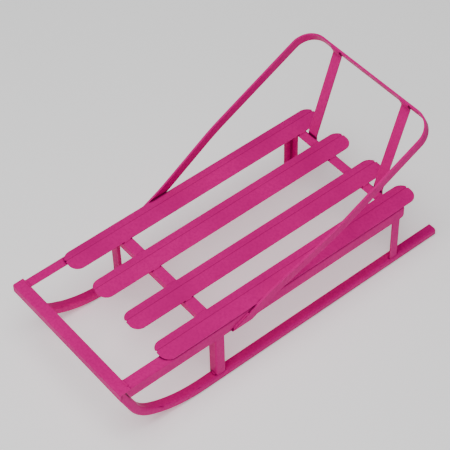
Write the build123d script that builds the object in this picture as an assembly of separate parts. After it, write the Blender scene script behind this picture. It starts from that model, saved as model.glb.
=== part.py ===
from build123d import *
import math
import os

# A child's steel sled: two bent tube runners, four angle posts, two angle rails
# with a crossbar and two crosspieces, four creased sheet slats, and a tilted
# flat-bar backrest hoop held by two struts. Everything is welded.
# Millimetres. X is the sled's right, +Y its rear, Z is up, the ground is Z = 0.

# ---- overall sizes --------------------------------------------------------
SLED_LENGTH = 770.0
FRAME_WIDTH = 320.0
SEAT_HEIGHT = 153.0          # top face of rails, crossbar and crosspieces

# ---- stock ----------------------------------------------------------------
ANGLE_WALL = 2.0
RUNNER_WIDTH = 20.0
RUNNER_HEIGHT = 18.0
RUNNER_ROUND = 5.0
RUNNER_WALL = 1.5
RAIL_TOP = 22.0
RAIL_SIDE = 28.0
RAIL_SHOULDER = 6.0          # outer bend radius of the rail section
CROSSBAR_TOP = 23.0
CROSSBAR_LIP = 19.0
CROSSPIECE_TOP = 22.0
CROSSPIECE_LIP = 17.0
CROSS_SHOULDER = 4.0         # outer bend radius of crossbar and crosspieces
POST_FLANGE = 20.0
POST_SHOULDER = 3.5

# ---- runner nose ----------------------------------------------------------
NOSE_ANGLE = 68.0            # steepness of the straight run under the crossbar
SWEEP_ANGLE = 30.0           # part of the bend made with the large radius
SWEEP_RADIUS = 235.0
NOSE_RADIUS = 90.0

# ---- where things stand along the sled ------------------------------------
FRONT_CROSSPIECE_IN = 224.0  # from the sled's front to the middle of its top
REAR_CROSSPIECE_IN = 114.0   # from the sled's rear to the middle of its top
RAIL_END_IN = 95.0           # from the sled's rear, as are the slat end and hoop foot
RAIL_END_ROUND = 7.0
CROSSBAR_OVERHANG = 3.0      # past each rail's outer face

# ---- slats ----------------------------------------------------------------
SLAT_FRONT_IN = 104.0
SLAT_REAR_IN = 58.5
SLAT_SHEET = 1.5
SLAT_RIDGE_RISE = 2.6
SLAT_NARROW_SIDE = 17.3      # from a slat's left edge to its crease
SLAT_CORNER = 20.0
SLAT_CORNER_LIMIT = 0.45     # of the slat's width, so that a narrow slat keeps a flat end
CREASE_HALF_WIDTH = 1.2
CREASE_DEPTH = 0.8
NOTCH_RADIUS = 2.6
MIDDLE_GAP = 46.0            # between the two middle slats
SIDE_GAP = 39.8              # between an outer slat and its neighbour

# ---- backrest -------------------------------------------------------------
HOOP_TILT = 26.0             # from the horizontal
HOOP_FOOT_IN = 474.0         # to where its lower edge leaves the rail's lower edge
HOOP_REACH = 484.0           # foot to the top bar's outer face, along the tilt
HOOP_FLARE_OUT = 11.0        # how far each leg moves outwards from its foot
HOOP_BAR_WIDTH = 20.0
HOOP_BAR_THICK = 4.0
HOOP_CORNER = 45.0
LEG_STRAIGHT = 62.0          # part of the leg lying on the rail
LEG_FLARE = 150.0
LEG_BEND_RADIUS = 600.0
STRUT_OFF_CENTRE = 2.5       # outwards from the middle of the gap between slats
STRUT_WIDTH = 22.0
STRUT_THICK = 3.0
STRUT_FOOT_RISE = 4.0        # straight foot above the crosspiece's top
STRUT_TAB = 16.0             # bent tab lying on the top bar
STRUT_BEND_RADIUS = 5.0

# ---- welds ----------------------------------------------------------------
WELD_LEG = 2.5
SLAT_WELD_LEG = 1.5
SLAT_WELD_LENGTH = 14.0
SEAM_RADIUS = 2.0
SEAM_HEIGHT = 1.2
BEAD_BULGE = 0.62            # how full a corner bead is, as a share of its leg

# ---- derived places -------------------------------------------------------
FRONT_Y = -SLED_LENGTH / 2
REAR_Y = SLED_LENGTH / 2
SIDE_X = FRAME_WIDTH / 2
RAIL_LOW_Z = SEAT_HEIGHT - RAIL_SIDE
UNDER_TOP_Z = SEAT_HEIGHT - ANGLE_WALL
RAIL_INNER_X = SIDE_X - RAIL_TOP
RAIL_FRONT_Y = FRONT_Y + CROSSBAR_TOP
RAIL_REAR_Y = REAR_Y - RAIL_END_IN
LIP_BACK_Y = FRONT_Y + ANGLE_WALL
FRONT_PIECE_Y = FRONT_Y + FRONT_CROSSPIECE_IN - CROSSPIECE_TOP / 2
REAR_PIECE_Y = REAR_Y - REAR_CROSSPIECE_IN + CROSSPIECE_TOP / 2
POST_X = SIDE_X - ANGLE_WALL
FRONT_POST_Y = FRONT_PIECE_Y + ANGLE_WALL
REAR_POST_Y = REAR_PIECE_Y + ANGLE_WALL
SLAT_FRONT_Y = FRONT_Y + SLAT_FRONT_IN
SLAT_LENGTH = REAR_Y - SLAT_REAR_IN - SLAT_FRONT_Y
SLAT_MIDDLE_Y = SLAT_FRONT_Y + SLAT_LENGTH / 2
SLAT_WIDTH = (FRAME_WIDTH - MIDDLE_GAP - 2 * SIDE_GAP) / 4
SLAT_CORNER_RADIUS = min(SLAT_CORNER, SLAT_CORNER_LIMIT * SLAT_WIDTH)
STRUT_X = MIDDLE_GAP / 2 + SLAT_WIDTH + SIDE_GAP / 2 + STRUT_OFF_CENTRE
HOOP_FOOT_Y = REAR_Y - HOOP_FOOT_IN
TILT_COS = math.cos(math.radians(HOOP_TILT))
TILT_SIN = math.sin(math.radians(HOOP_TILT))
SIDES = (("left", -1), ("right", 1))
LONG = 4 * SLED_LENGTH       # bigger than the object, for cutting tools


def block(x0, x1, y0, y1, z0, z1):
    """An axis-aligned box from its six limits."""
    middle = ((x0 + x1) / 2, (y0 + y1) / 2, (z0 + z1) / 2)
    return Pos(*middle) * Box(x1 - x0, y1 - y0, z1 - z0)


def both_sides(right_piece):
    """The left and right forms of a piece drawn on the right."""
    return {"left": mirror(right_piece, about=Plane.YZ), "right": right_piece}


def angle_profile(first, second, shoulder):
    """L section with its outer corner at the origin and its legs along +X and +Y."""
    outline = Polyline((0, 0), (first, 0), (first, ANGLE_WALL), (ANGLE_WALL, ANGLE_WALL),
                       (ANGLE_WALL, second), (0, second), (0, 0))
    face = make_face(outline)
    face = fillet(face.vertices().sort_by_distance((0, 0, 0))[0], shoulder)
    heel = face.vertices().sort_by_distance((ANGLE_WALL, ANGLE_WALL, 0))[0]
    return fillet(heel, shoulder - ANGLE_WALL)


def angle_bar(corner, first_dir, second_dir, first, second, shoulder, length):
    """An angle bar that starts at corner and runs along first_dir x second_dir."""
    along = Vector(*first_dir).cross(Vector(*second_dir))
    plane = Plane(origin=corner, x_dir=first_dir, z_dir=along)
    return extrude(plane * angle_profile(first, second, shoulder), length)


# ---- runners --------------------------------------------------------------
def nose_rear_y(z):
    """Where the rear face of the runner's straight nose is at height z."""
    rise = z - (SEAT_HEIGHT - CROSSBAR_LIP)
    slope = math.radians(NOSE_ANGLE)
    return FRONT_Y - rise / math.tan(slope) + RUNNER_HEIGHT / math.sin(slope)


def runner_path():
    """Centre line of a runner, drawn from its rear end to above the crossbar."""
    slope = math.radians(NOSE_ANGLE)
    sweep = math.radians(SWEEP_ANGLE)
    centre_z = RUNNER_HEIGHT / 2
    bend_length = (SWEEP_RADIUS * math.sin(sweep)
                   + NOSE_RADIUS * (math.sin(slope) - math.sin(sweep)))
    bend_rise = (SWEEP_RADIUS * (1 - math.cos(sweep))
                 + NOSE_RADIUS * (math.cos(sweep) - math.cos(slope)))
    bend_top_z = centre_z + bend_rise
    bend_top_y = nose_rear_y(bend_top_z) - centre_z / math.sin(slope)
    bend_start_y = bend_top_y + bend_length
    ground_run = Line((REAR_Y, centre_z), (bend_start_y, centre_z))
    sweep_arc = JernArc(ground_run @ 1, ground_run % 1, SWEEP_RADIUS, -SWEEP_ANGLE)
    nose_arc = JernArc(sweep_arc @ 1, sweep_arc % 1, NOSE_RADIUS, SWEEP_ANGLE - NOSE_ANGLE)
    nose_run = Line(nose_arc @ 1, nose_arc @ 1 + nose_arc % 1 * (SEAT_HEIGHT - bend_rise))
    return ground_run + sweep_arc + nose_arc + nose_run


def runner_sweep(inset):
    """The runner's outer form, or its bore when inset by the wall."""
    x = SIDE_X - RUNNER_WIDTH / 2
    path = Pos(x, 0, 0) * (Plane.YZ * runner_path())
    start = Plane(origin=(x, REAR_Y, RUNNER_HEIGHT / 2), x_dir=(1, 0, 0), z_dir=(0, -1, 0))
    section = RectangleRounded(RUNNER_WIDTH - 2 * inset, RUNNER_HEIGHT - 2 * inset,
                               RUNNER_ROUND - inset)
    return sweep(start * section, path=path)


def runner_cope():
    """What the runner's top end loses to fit behind and under the crossbar."""
    above = block(-LONG, LONG, -LONG, 0, UNDER_TOP_Z, LONG)
    ahead = block(-LONG, LONG, -LONG, LIP_BACK_Y, SEAT_HEIGHT - CROSSBAR_LIP, LONG)
    return above + ahead


def runners():
    tube = runner_sweep(0) - runner_sweep(RUNNER_WALL)
    return both_sides(tube - runner_cope() - front_crossbar())


# ---- rails and cross members ----------------------------------------------
def rails():
    """Angle rails that butt the crossbar and run on under it to the runner."""
    bar = angle_bar((SIDE_X, RAIL_REAR_Y, SEAT_HEIGHT), (-1, 0, 0), (0, 0, -1),
                    RAIL_TOP, RAIL_SIDE, RAIL_SHOULDER, RAIL_REAR_Y - FRONT_Y)
    low_z = RAIL_LOW_Z - 1
    nose_zone = make_face(Polyline((nose_rear_y(low_z), low_z),
                                   (nose_rear_y(SEAT_HEIGHT), SEAT_HEIGHT),
                                   (FRONT_Y - RAIL_TOP, SEAT_HEIGHT),
                                   (FRONT_Y - RAIL_TOP, low_z),
                                   (nose_rear_y(low_z), low_z)))
    bar -= extrude(Plane.YZ * nose_zone, LONG)
    bar -= block(0, LONG, -LONG, RAIL_FRONT_Y, UNDER_TOP_Z, LONG)
    bar -= block(0, SIDE_X - ANGLE_WALL, -LONG, RAIL_FRONT_Y, 0, LONG)
    tail = bar.edges().filter_by(Axis.X).sort_by_distance((SIDE_X, RAIL_REAR_Y, RAIL_LOW_Z))[0]
    return both_sides(fillet(tail, RAIL_END_ROUND))


def front_crossbar():
    half = SIDE_X + CROSSBAR_OVERHANG
    return angle_bar((half, FRONT_Y, SEAT_HEIGHT), (0, 1, 0), (0, 0, -1),
                     CROSSBAR_TOP, CROSSBAR_LIP, CROSS_SHOULDER, 2 * half)


def front_crosspiece():
    return angle_bar((RAIL_INNER_X, FRONT_PIECE_Y, SEAT_HEIGHT), (0, 1, 0), (0, 0, -1),
                     CROSSPIECE_TOP, CROSSPIECE_LIP, CROSS_SHOULDER, 2 * RAIL_INNER_X)


def rear_crosspiece():
    return angle_bar((-RAIL_INNER_X, REAR_PIECE_Y, SEAT_HEIGHT), (0, -1, 0), (0, 0, -1),
                     CROSSPIECE_TOP, CROSSPIECE_LIP, CROSS_SHOULDER, 2 * RAIL_INNER_X)


# ---- posts ----------------------------------------------------------------
def posts(rail, runner_form):
    """Right-hand front and rear posts, coped to the rail and the runner."""
    height = UNDER_TOP_Z - RUNNER_HEIGHT / 2
    front = angle_bar((POST_X, FRONT_POST_Y, UNDER_TOP_Z), (-1, 0, 0), (0, 1, 0),
                      POST_FLANGE, POST_FLANGE, POST_SHOULDER, height)
    rear = angle_bar((POST_X, REAR_POST_Y, RUNNER_HEIGHT / 2), (-1, 0, 0), (0, -1, 0),
                     POST_FLANGE, POST_FLANGE, POST_SHOULDER, height)
    return front - rail - runner_form, rear - rail - runner_form


# ---- slats ----------------------------------------------------------------
def slat_section():
    """Shallow roof-shaped sheet section with a pressed line along its ridge."""
    left = -SLAT_NARROW_SIDE
    right = SLAT_WIDTH - SLAT_NARROW_SIDE
    ridge_top = SLAT_RIDGE_RISE + SLAT_SHEET
    left_top = ridge_top + SLAT_RIDGE_RISE * CREASE_HALF_WIDTH / left
    right_top = ridge_top - SLAT_RIDGE_RISE * CREASE_HALF_WIDTH / right
    return make_face(Polyline((left, 0), (0, SLAT_RIDGE_RISE), (right, 0), (right, SLAT_SHEET),
                              (CREASE_HALF_WIDTH, right_top), (0, ridge_top - CREASE_DEPTH),
                              (-CREASE_HALF_WIDTH, left_top), (left, SLAT_SHEET), (left, 0)))


def slat(crease_x):
    start = Plane(origin=(crease_x, SLAT_FRONT_Y, SEAT_HEIGHT), x_dir=(1, 0, 0), z_dir=(0, -1, 0))
    sheet = extrude(start * slat_section(), -SLAT_LENGTH)
    middle_x = crease_x - SLAT_NARROW_SIDE + SLAT_WIDTH / 2
    outline = Pos(middle_x, SLAT_MIDDLE_Y) * RectangleRounded(SLAT_WIDTH, SLAT_LENGTH, SLAT_CORNER_RADIUS)
    sheet &= extrude(outline, LONG)
    for end in (-1, 1):
        end_y = SLAT_MIDDLE_Y + end * SLAT_LENGTH / 2
        sheet -= Pos(crease_x, end_y, SEAT_HEIGHT) * Cylinder(NOTCH_RADIUS, LONG)
    return sheet


def slat_left_edges():
    """X of the left edge of each slat, from the sled's left to its right."""
    inner = MIDDLE_GAP / 2
    return (-SIDE_X, -inner - SLAT_WIDTH, inner, SIDE_X - SLAT_WIDTH)


# ---- backrest -------------------------------------------------------------
def hoop_plane():
    """Plane of the hoop's lower edges: X across the sled, Y up the tilt."""
    return Plane(origin=(0, HOOP_FOOT_Y, RAIL_LOW_Z), x_dir=(1, 0, 0),
                 z_dir=(0, -TILT_SIN, TILT_COS))


def backrest_hoop():
    foot_x = SIDE_X + HOOP_BAR_THICK
    wide_x = foot_x + HOOP_FLARE_OUT
    flare_end = LEG_STRAIGHT + LEG_FLARE
    below = -2 * HOOP_BAR_WIDTH / TILT_SIN
    outline = make_face(Polyline((-foot_x, below), (-foot_x, LEG_STRAIGHT), (-wide_x, flare_end),
                                 (-wide_x, HOOP_REACH), (wide_x, HOOP_REACH), (wide_x, flare_end),
                                 (foot_x, LEG_STRAIGHT), (foot_x, below), (-foot_x, below)))
    outline = fillet(outline.vertices().group_by(Axis.Y)[3], HOOP_CORNER)
    outline = fillet(outline.vertices().filter_by_position(Axis.Y, LEG_STRAIGHT - 1, flare_end + 1),
                     LEG_BEND_RADIUS)
    ring = outline - offset(outline, -HOOP_BAR_THICK)
    hoop = extrude(hoop_plane() * ring, HOOP_BAR_WIDTH)
    return hoop - block(-LONG, LONG, -LONG, LONG, -LONG, RAIL_LOW_Z)


def strut(side):
    """A flat strip from the rear crosspiece's lip to the inside of the top bar."""
    up_tilt = Vector(TILT_COS, TILT_SIN)
    across_bar = Vector(-TILT_SIN, TILT_COS)
    foot = Vector(HOOP_FOOT_Y, RAIL_LOW_Z)
    bar_low = foot + up_tilt * (HOOP_REACH - HOOP_BAR_THICK - STRUT_THICK)
    line = FilletPolyline((REAR_PIECE_Y, SEAT_HEIGHT - CROSSPIECE_LIP),
                          (REAR_PIECE_Y, SEAT_HEIGHT + STRUT_FOOT_RISE),
                          bar_low, bar_low + across_bar * STRUT_TAB, radius=STRUT_BEND_RADIUS)
    strip = make_face(offset(line, STRUT_THICK, side=Side.RIGHT, closed=True))
    return Pos(side * STRUT_X, 0, 0) * extrude(Plane.YZ * strip, STRUT_WIDTH / 2, both=True)


# ---- welds ----------------------------------------------------------------
def corner_bead(start, end, first_dir, second_dir, leg):
    """A fillet weld along start-end, filling the corner between two faces."""
    a, b = Vector(*start), Vector(*end)
    if (b - a).cross(Vector(*first_dir)).dot(Vector(*second_dir)) < 0:
        a, b = b, a
    bulge = BEAD_BULGE * leg
    section = make_face(Line((0, 0), (leg, 0)) + ThreePointArc((leg, 0), (bulge, bulge), (0, leg))
                        + Line((0, leg), (0, 0)))
    plane = Plane(origin=a, x_dir=first_dir, z_dir=(b - a))
    return extrude(plane * section, (b - a).length)


def seam_bead(start, end, face_dir):
    """A low rounded seam weld on a flat face, along start-end."""
    a, b = Vector(*start), Vector(*end)
    plane = Plane(origin=a, x_dir=(b - a).cross(Vector(*face_dir)), z_dir=(b - a))
    arc = ThreePointArc((-SEAM_RADIUS, 0), (0, -SEAM_HEIGHT), (SEAM_RADIUS, 0))
    section = make_face(arc + Line((SEAM_RADIUS, 0), (-SEAM_RADIUS, 0)))
    return extrude(plane * section, (b - a).length)


def mirrored_group(beads):
    """All beads of the right side and their mirror images, as separate solids."""
    solids = []
    for bead in beads:
        solids += bead.solids()
        solids += mirror(bead, about=Plane.YZ).solids()
    return Compound(children=solids)


def crossbar_welds():
    top = seam_bead((RAIL_INNER_X, RAIL_FRONT_Y, SEAT_HEIGHT),
                    (SIDE_X - RAIL_SHOULDER, RAIL_FRONT_Y, SEAT_HEIGHT), (0, 0, 1))
    side = corner_bead((SIDE_X, nose_rear_y(UNDER_TOP_Z), UNDER_TOP_Z),
                       (SIDE_X, RAIL_FRONT_Y, UNDER_TOP_Z), (1, 0, 0), (0, 0, -1), WELD_LEG)
    return mirrored_group([top, side])


def crosspiece_welds():
    front = seam_bead((RAIL_INNER_X, FRONT_POST_Y + 2 * ANGLE_WALL, UNDER_TOP_Z),
                      (RAIL_INNER_X, FRONT_PIECE_Y + CROSSPIECE_TOP, UNDER_TOP_Z), (0, 0, -1))
    rear = seam_bead((RAIL_INNER_X, REAR_PIECE_Y - 2 * ANGLE_WALL, UNDER_TOP_Z),
                     (RAIL_INNER_X, REAR_PIECE_Y - CROSSPIECE_TOP, UNDER_TOP_Z), (0, 0, -1))
    return mirrored_group([front, rear])


def post_head_welds():
    beads = []
    for corner_y, along in ((FRONT_POST_Y, 1), (REAR_POST_Y, -1)):
        beads.append(corner_bead((POST_X, corner_y + along * POST_SHOULDER, RAIL_LOW_Z),
                                 (POST_X, corner_y + along * POST_FLANGE, RAIL_LOW_Z),
                                 (1, 0, 0), (0, 0, -1), ANGLE_WALL))
    return mirrored_group(beads)


def post_foot_welds():
    inner_x = SIDE_X - RUNNER_WIDTH + RUNNER_ROUND
    beads = []
    for corner_y, along in ((FRONT_POST_Y, 1), (REAR_POST_Y, -1)):
        beads.append(corner_bead((inner_x, corner_y, RUNNER_HEIGHT),
                                 (POST_X - POST_SHOULDER, corner_y, RUNNER_HEIGHT),
                                 (0, -along, 0), (0, 0, 1), WELD_LEG))
        flange_x = POST_X - ANGLE_WALL
        beads.append(corner_bead((flange_x, corner_y + along * 2 * ANGLE_WALL, RUNNER_HEIGHT),
                                 (flange_x, corner_y + along * POST_FLANGE, RUNNER_HEIGHT),
                                 (-1, 0, 0), (0, 0, 1), WELD_LEG))
    return mirrored_group(beads)


def slat_welds():
    """Short beads beside the slats, on the tops of the two crosspieces."""
    beads = []
    for edge in slat_left_edges():
        for x, outward in ((edge, -1), (edge + SLAT_WIDTH, 1)):
            if abs(x) > RAIL_INNER_X:
                continue
            for y in (FRONT_PIECE_Y + CROSSPIECE_TOP / 2, REAR_PIECE_Y - CROSSPIECE_TOP / 2):
                bead = corner_bead((x, y - SLAT_WELD_LENGTH / 2, SEAT_HEIGHT),
                                   (x, y + SLAT_WELD_LENGTH / 2, SEAT_HEIGHT),
                                   (outward, 0, 0), (0, 0, 1), SLAT_WELD_LEG)
                beads += bead.solids()
    return Compound(children=beads)


def hoop_welds():
    """Beads along both edges of each hoop leg where it lies on the rail."""
    plane = hoop_plane()
    flat_side = RAIL_SIDE - RAIL_SHOULDER - WELD_LEG
    upper_start = (WELD_LEG - HOOP_BAR_WIDTH * TILT_COS) / TILT_SIN
    upper_end = (flat_side - HOOP_BAR_WIDTH * TILT_COS) / TILT_SIN
    lower_start = 2 * WELD_LEG / TILT_SIN
    lower_end = flat_side / TILT_SIN
    normal = plane.z_dir
    upper = corner_bead(plane.from_local_coords((SIDE_X, upper_start, HOOP_BAR_WIDTH)),
                        plane.from_local_coords((SIDE_X, upper_end, HOOP_BAR_WIDTH)),
                        (1, 0, 0), normal, WELD_LEG)
    lower = corner_bead(plane.from_local_coords((SIDE_X, lower_start, 0)),
                        plane.from_local_coords((SIDE_X, lower_end, 0)),
                        (1, 0, 0), normal * -1, WELD_LEG)
    return mirrored_group([upper, lower])


def strut_welds():
    """Beads beside each strut's foot and along the top of its bent tab."""
    plane = hoop_plane()
    inner_x = STRUT_X - STRUT_WIDTH / 2
    outer_x = inner_x + STRUT_WIDTH
    beads = []
    for x, outward in ((inner_x, -1), (outer_x, 1)):
        beads.append(corner_bead((x, REAR_PIECE_Y, SEAT_HEIGHT - CROSSPIECE_LIP),
                                 (x, REAR_PIECE_Y, SEAT_HEIGHT - CROSS_SHOULDER),
                                 (outward, 0, 0), (0, 1, 0), WELD_LEG))
    bar_inner = HOOP_REACH - HOOP_BAR_THICK
    beads.append(corner_bead(plane.from_local_coords((inner_x, bar_inner, STRUT_TAB)),
                             plane.from_local_coords((outer_x, bar_inner, STRUT_TAB)),
                             plane.z_dir, plane.y_dir * -1, WELD_LEG))
    return mirrored_group(beads)


# ---- the whole sled -------------------------------------------------------
def build_pieces():
    """Every piece by name."""
    pieces = {}
    runner = runners()
    rail = rails()
    front_post, rear_post = posts(rail["right"], runner_sweep(0))
    front_posts = both_sides(front_post)
    rear_posts = both_sides(rear_post)
    for name, side in SIDES:
        pieces[name + "_runner"] = runner[name]
        pieces[name + "_rail"] = rail[name]
        pieces["front_" + name + "_post"] = front_posts[name]
        pieces["rear_" + name + "_post"] = rear_posts[name]
        pieces[name + "_strut"] = strut(side)
    pieces["front_crossbar"] = front_crossbar()
    pieces["front_crosspiece"] = front_crosspiece()
    pieces["rear_crosspiece"] = rear_crosspiece()
    for number, edge in enumerate(slat_left_edges(), 1):
        pieces["slat_%d" % number] = slat(edge + SLAT_NARROW_SIDE)
    pieces["backrest_hoop"] = backrest_hoop()
    pieces["crossbar_welds"] = crossbar_welds()
    pieces["crosspiece_welds"] = crosspiece_welds()
    pieces["post_head_welds"] = post_head_welds()
    pieces["post_foot_welds"] = post_foot_welds()
    pieces["slat_welds"] = slat_welds()
    pieces["hoop_welds"] = hoop_welds()
    pieces["strut_welds"] = strut_welds()
    return pieces


os.makedirs("parts", exist_ok=True)
for piece_name, piece in build_pieces().items():
    piece.label = piece_name
    export_step(piece, "parts/" + piece_name + ".step")
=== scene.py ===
from collections import namedtuple
import math

import bpy
from mathutils import Matrix, Vector

# The looks of a magenta painted steel sled with a backrest hoop. Every piece is a
# CAD node that keeps its shape: this script softens its edges, paints it and
# lights it. Lengths are metres, in the row's frame.

# ---- camera ---------------------------------------------------------------
CAMERA_AZIMUTH = 51.92       # degrees round from straight ahead of the sled
CAMERA_ELEVATION = 48.61
CAMERA_ROLL = -1.75
CAMERA_DISTANCE = 3.134
CAMERA_TARGET = (-0.0145, -0.0052, 0.1664)
SENSOR_WIDTH = 36.0          # millimetres
FIELD_OF_VIEW = 15.25        # degrees across the frame

# ---- paint, linear colour ---------------------------------------------------
PAINT = (0.72, 0.0, 0.24, 1.0)
# rubbed paint on edges, lighter than the paint, so it is also a painted edge highlight
PAINT_WORN_AND_HIGHLIGHT = (0.82, 0.03, 0.33, 1.0)
PAINT_DULL = (0.52, 0.0, 0.17, 1.0)
# the colour of the painted shade in creases and where pieces meet
PAINTED_SHADE = (0.16, 0.0, 0.05, 1.0)
STEEL = (0.20, 0.17, 0.18, 1.0)
SHEEN_LEVEL = 0.05           # low, so that the pale floor doesn't wash the colour out
SMOOTHEST = 0.34             # roughness of the most polished patches
ROUGHEST = 0.54
WELD_ROUGHNESS = 0.46
WELD_DULLNESS = 0.8          # how far its dull patches go towards the dull colour
MOTTLE_AMOUNT = 0.45         # how far the fine mottle goes towards the dull colour
LEAST_RUBBED = 0.15          # share of the worn, painted-highlight colour along an edge
MOST_RUBBED = 0.85

# ---- how far the wear with its painted edge highlight and the painted corner shade reach ---
WORN_AND_HIGHLIGHT_REACH = 0.0011          # from an edge, where the paint is rubbed thin and lightened as a painted highlight
CHIP_REACH = 0.0008
PAINTED_SHADE_REACH = 0.006          # how near two faces must be to hold painted shade between them
EDGE_TURN_START = 0.98       # likeness of the rounded and the true normal where wear starts
EDGE_TURN_FULL = 0.78
OPEN_CORNER = 0.97           # share of the sky seen where no shade is painted
TIGHT_CORNER = 0.60          # share seen where the painted shade is darkest
EDGE_SAMPLES = 6
SKY_SAMPLES = 12

# ---- noise patterns: features per metre, detail, and which part of the noise shows ----
Pattern = namedtuple("Pattern", "scale detail low high")
DULL_PATCHES = Pattern(7.0, 4.0, 0.35, 0.70)
POLISH = Pattern(24.0, 5.0, 0.30, 0.72)
RUBBING = Pattern(30.0, 4.0, 0.38, 0.62)
MOTTLE = Pattern(210.0, 5.0, 0.40, 0.66)
CHIPS = Pattern(260.0, 3.0, 0.62, 0.66)
WELD_LUMPS = Pattern(180.0, 3.0, 0.35, 0.70)

# ---- relief: features per metre, detail, strength, and depth in metres --------
Relief = namedtuple("Relief", "scale detail strength depth")
WAVES = Relief(38.0, 3.0, 0.10, 0.0012)
FLOOR_GRAIN = Relief(30.0, 2.0, 0.03, 0.001)
ORANGE_PEEL_SCALE = 420.0
ORANGE_PEEL_DETAIL = 2.0
ORANGE_PEEL_DEPTH = 0.0004
RIPPLE_SCALE = 520.0
RIPPLE_STRENGTH = 0.75
RIPPLE_DEPTH = 0.0006
LUMP_STRENGTH = 0.45
LUMP_DEPTH = 0.0008

# ---- softened edges -----------------------------------------------------------
EDGE_SOFTNESS = 0.0005
WELD_SOFTNESS = 0.00025
SOFT_EDGE_STEPS = 2
SOFT_EDGE_ANGLE = 38.0       # degrees between two faces, from which their edge is softened

# ---- studio -------------------------------------------------------------------
WHITE = (1.0, 1.0, 1.0, 1.0)
FLOOR_COLOUR = (0.97, 0.97, 0.97, 1.0)
FLOOR_GLOW = 0.36            # the floor is a lit table, so that it stays pale
FLOOR_ROUGHNESS = 0.85
FLOOR_SIZE = 14.0
HORIZON_LIGHT = 0.45
OVERHEAD_LIGHT = 0.12
HORIZON_BAND = 0.25          # how high up the pale horizon reaches, where 1 is overhead
KEY_PLACE = (0.5, -1.0, 3.2)
KEY_TARGET = (0.0, 0.0, 0.1)
KEY_SIZE = 2.6
KEY_POWER = 112.0


def new_material(name):
    """An empty material, its node tree and its shader."""
    material = bpy.data.materials.new(name)
    material.use_nodes = True
    tree = material.node_tree
    return material, tree, tree.nodes["Principled BSDF"]


def object_noise(tree, scale, detail):
    """Noise laid out in the object's own coordinates."""
    place = tree.nodes.new("ShaderNodeTexCoord")
    noise = tree.nodes.new("ShaderNodeTexNoise")
    noise.inputs["Scale"].default_value = scale
    noise.inputs["Detail"].default_value = detail
    tree.links.new(place.outputs["Object"], noise.inputs["Vector"])
    return noise.outputs["Fac"]


def remap(tree, value, low, high, out_low, out_high):
    """The value from low..high spread over out_low..out_high, clamped."""
    node = tree.nodes.new("ShaderNodeMapRange")
    node.inputs["From Min"].default_value = low
    node.inputs["From Max"].default_value = high
    node.inputs["To Min"].default_value = out_low
    node.inputs["To Max"].default_value = out_high
    tree.links.new(value, node.inputs["Value"])
    return node.outputs["Result"]


def spread(tree, pattern, out_low, out_high):
    """A noise pattern spread over out_low..out_high."""
    noise = object_noise(tree, pattern.scale, pattern.detail)
    return remap(tree, noise, pattern.low, pattern.high, out_low, out_high)


def blend_colours(tree, amount, first, second):
    """A mix of two colours, each a constant or a socket."""
    node = tree.nodes.new("ShaderNodeMix")
    node.data_type = "RGBA"
    tree.links.new(amount, node.inputs["Factor"])
    for socket, colour in ((node.inputs["A"], first), (node.inputs["B"], second)):
        if isinstance(colour, tuple):
            socket.default_value = colour
        else:
            tree.links.new(colour, socket)
    return node.outputs["Result"]


def multiply(tree, first, second):
    """The product of two sockets."""
    node = tree.nodes.new("ShaderNodeMath")
    node.operation = "MULTIPLY"
    tree.links.new(first, node.inputs[0])
    tree.links.new(second, node.inputs[1])
    return node.outputs["Value"]


def edge_amount(tree, reach):
    """1 on an edge and 0 beyond reach from it, by how far a rounded normal turns."""
    rounded = tree.nodes.new("ShaderNodeBevel")
    rounded.samples = EDGE_SAMPLES
    rounded.inputs["Radius"].default_value = reach
    geometry = tree.nodes.new("ShaderNodeNewGeometry")
    likeness = tree.nodes.new("ShaderNodeVectorMath")
    likeness.operation = "DOT_PRODUCT"
    tree.links.new(rounded.outputs["Normal"], likeness.inputs[0])
    tree.links.new(geometry.outputs["Normal"], likeness.inputs[1])
    return remap(tree, likeness.outputs["Value"], EDGE_TURN_START, EDGE_TURN_FULL, 0.0, 1.0)


def painted_corner_shade(tree):
    """Painted shade: 1 deep in a crease or where two pieces meet, and 0 in the open."""
    sky = tree.nodes.new("ShaderNodeAmbientOcclusion")
    sky.samples = SKY_SAMPLES
    sky.inputs["Distance"].default_value = PAINTED_SHADE_REACH
    return remap(tree, sky.outputs["AO"], OPEN_CORNER, TIGHT_CORNER, 0.0, 1.0)


def relief_height(tree, relief):
    """A relief's noise with its strength and depth, as add_bump takes them."""
    return object_noise(tree, relief.scale, relief.detail), relief.strength, relief.depth


def add_bump(tree, shader, heights):
    """Chains bumps of (height socket, strength, depth) into the shader."""
    normal = None
    for height, strength, depth in heights:
        bump = tree.nodes.new("ShaderNodeBump")
        bump.inputs["Strength"].default_value = strength
        bump.inputs["Distance"].default_value = depth
        tree.links.new(height, bump.inputs["Height"])
        if normal is not None:
            tree.links.new(normal, bump.inputs["Normal"])
        normal = bump.outputs["Normal"]
    tree.links.new(normal, shader.inputs["Normal"])


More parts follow.
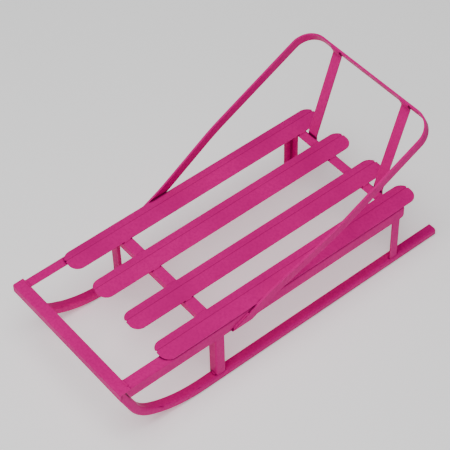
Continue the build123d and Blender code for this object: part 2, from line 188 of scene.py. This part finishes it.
def paint_material(name, dullness, orange_peel, chipping):
    """Mottled enamel with dull patches, rubbed edges made lighter also as a painted highlight, chipped
    edges, and painted shade in its corners.
    """
    material, tree, shader = new_material(name)
    colour = blend_colours(tree, spread(tree, DULL_PATCHES, 0.0, dullness), PAINT, PAINT_DULL)
    colour = blend_colours(tree, spread(tree, MOTTLE, 0.0, MOTTLE_AMOUNT), colour, PAINT_DULL)
    # rubbed paint along every edge, made lighter so that it also serves as a painted edge highlight
    rubbed_and_highlit = multiply(tree, edge_amount(tree, WORN_AND_HIGHLIGHT_REACH),
                      spread(tree, RUBBING, LEAST_RUBBED, MOST_RUBBED))
    colour = blend_colours(tree, rubbed_and_highlit, colour, PAINT_WORN_AND_HIGHLIGHT)
    bare = multiply(tree, edge_amount(tree, CHIP_REACH), spread(tree, CHIPS, 0.0, chipping))
    colour = blend_colours(tree, bare, colour, STEEL)
    # painted shade: darker in creases and where pieces meet, where shade falls
    colour = blend_colours(tree, painted_corner_shade(tree), colour, PAINTED_SHADE)
    tree.links.new(colour, shader.inputs["Base Color"])
    tree.links.new(spread(tree, POLISH, SMOOTHEST, ROUGHEST), shader.inputs["Roughness"])
    shader.inputs["Specular IOR Level"].default_value = SHEEN_LEVEL
    peel = Relief(ORANGE_PEEL_SCALE, ORANGE_PEEL_DETAIL, orange_peel, ORANGE_PEEL_DEPTH)
    add_bump(tree, shader, (relief_height(tree, peel), relief_height(tree, WAVES)))
    return material


def weld_material():
    """Painted-over weld bead: finely rippled, lumpy and uneven in tone."""
    material, tree, shader = new_material("painted_weld")
    place = tree.nodes.new("ShaderNodeTexCoord")
    ripple = tree.nodes.new("ShaderNodeTexVoronoi")
    ripple.inputs["Scale"].default_value = RIPPLE_SCALE
    tree.links.new(place.outputs["Object"], ripple.inputs["Vector"])
    lumps = object_noise(tree, WELD_LUMPS.scale, WELD_LUMPS.detail)
    uneven = spread(tree, WELD_LUMPS, 0.0, WELD_DULLNESS)
    tree.links.new(blend_colours(tree, uneven, PAINT, PAINT_DULL), shader.inputs["Base Color"])
    shader.inputs["Roughness"].default_value = WELD_ROUGHNESS
    shader.inputs["Specular IOR Level"].default_value = SHEEN_LEVEL
    add_bump(tree, shader, ((ripple.outputs["Distance"], RIPPLE_STRENGTH, RIPPLE_DEPTH),
                            (lumps, LUMP_STRENGTH, LUMP_DEPTH)))
    return material


def make_finishes():
    """The finishes by name: slats are the dullest, runners the most chipped."""
    return {
        "bar": paint_material("magenta_bar_paint", dullness=0.35, orange_peel=0.16, chipping=0.55),
        "sheet": paint_material("magenta_sheet_paint", dullness=0.65, orange_peel=0.22, chipping=0.35),
        "tube": paint_material("magenta_tube_paint", dullness=0.45, orange_peel=0.14, chipping=0.80),
        "weld": weld_material(),
    }


def finish_name(node):
    """Which finish a node takes."""
    if node.endswith("_welds"):
        return "weld"
    if node.startswith("slat_"):
        return "sheet"
    if node.endswith("_runner"):
        return "tube"
    return "bar"


def dress_nodes(finishes):
    """Gives each CAD node its finish and soft edges."""
    for name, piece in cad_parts.items():
        finish = finish_name(name)
        piece.data.materials.clear()
        piece.data.materials.append(finishes[finish])
        bevel = piece.modifiers.new("soft_edges", "BEVEL")
        bevel.width = WELD_SOFTNESS if finish == "weld" else EDGE_SOFTNESS
        bevel.segments = SOFT_EDGE_STEPS
        bevel.limit_method = "ANGLE"
        bevel.angle_limit = math.radians(SOFT_EDGE_ANGLE)
        bevel.harden_normals = True


def make_floor():
    """A plain pale floor with a very faint grain."""
    bpy.ops.mesh.primitive_plane_add(size=FLOOR_SIZE, location=(0, 0, 0))
    floor = bpy.context.object
    floor.name = "studio_floor"
    material, tree, shader = new_material("studio_floor")
    shader.inputs["Base Color"].default_value = FLOOR_COLOUR
    shader.inputs["Roughness"].default_value = FLOOR_ROUGHNESS
    shader.inputs["Emission Color"].default_value = FLOOR_COLOUR
    shader.inputs["Emission Strength"].default_value = FLOOR_GLOW
    add_bump(tree, shader, (relief_height(tree, FLOOR_GRAIN),))
    floor.data.materials.append(material)


def light_studio():
    """One large soft light from above and ahead, and a surround that is palest at the horizon."""
    data = bpy.data.lights.new("key", "AREA")
    data.shape = "SQUARE"
    data.size = KEY_SIZE
    data.energy = KEY_POWER
    key = bpy.data.objects.new("key", data)
    bpy.context.scene.collection.objects.link(key)
    key.location = KEY_PLACE
    key.rotation_mode = "QUATERNION"
    key.rotation_quaternion = (Vector(KEY_TARGET) - Vector(KEY_PLACE)).to_track_quat("-Z", "Y")
    world = bpy.data.worlds.new("studio")
    world.use_nodes = True
    tree = world.node_tree
    background = tree.nodes["Background"]
    background.inputs["Color"].default_value = WHITE
    direction = tree.nodes.new("ShaderNodeTexCoord")
    parts = tree.nodes.new("ShaderNodeSeparateXYZ")
    tree.links.new(direction.outputs["Generated"], parts.inputs["Vector"])
    strength = remap(tree, parts.outputs["Z"], 0.0, HORIZON_BAND, HORIZON_LIGHT, OVERHEAD_LIGHT)
    tree.links.new(strength, background.inputs["Strength"])
    bpy.context.scene.world = world


def make_camera():
    """The camera stands at its distance from the target and leans by its roll."""
    azimuth = math.radians(CAMERA_AZIMUTH)
    elevation = math.radians(CAMERA_ELEVATION)
    roll = math.radians(CAMERA_ROLL)
    away = Vector((math.sin(azimuth) * math.cos(elevation),
                   -math.cos(azimuth) * math.cos(elevation),
                   math.sin(elevation)))
    level_right = (-away).cross(Vector((0, 0, 1))).normalized()
    level_up = away.cross(level_right)
    right = math.cos(roll) * level_right + math.sin(roll) * level_up
    up = -math.sin(roll) * level_right + math.cos(roll) * level_up
    data = bpy.data.cameras.new("camera")
    data.sensor_width = SENSOR_WIDTH
    data.lens = SENSOR_WIDTH / 2 / math.tan(math.radians(FIELD_OF_VIEW) / 2)
    camera = bpy.data.objects.new("camera", data)
    bpy.context.scene.collection.objects.link(camera)
    turn = Matrix((right, up, away)).transposed().to_4x4()
    camera.matrix_world = Matrix.Translation(Vector(CAMERA_TARGET) + away * CAMERA_DISTANCE) @ turn
    bpy.context.scene.camera = camera


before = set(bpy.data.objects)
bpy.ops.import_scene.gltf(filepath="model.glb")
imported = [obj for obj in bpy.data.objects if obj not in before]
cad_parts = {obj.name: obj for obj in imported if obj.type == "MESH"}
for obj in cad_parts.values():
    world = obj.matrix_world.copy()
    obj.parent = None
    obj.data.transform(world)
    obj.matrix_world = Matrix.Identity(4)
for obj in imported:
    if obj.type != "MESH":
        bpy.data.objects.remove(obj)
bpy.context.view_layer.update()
dress_nodes(make_finishes())
make_floor()
light_studio()
make_camera()
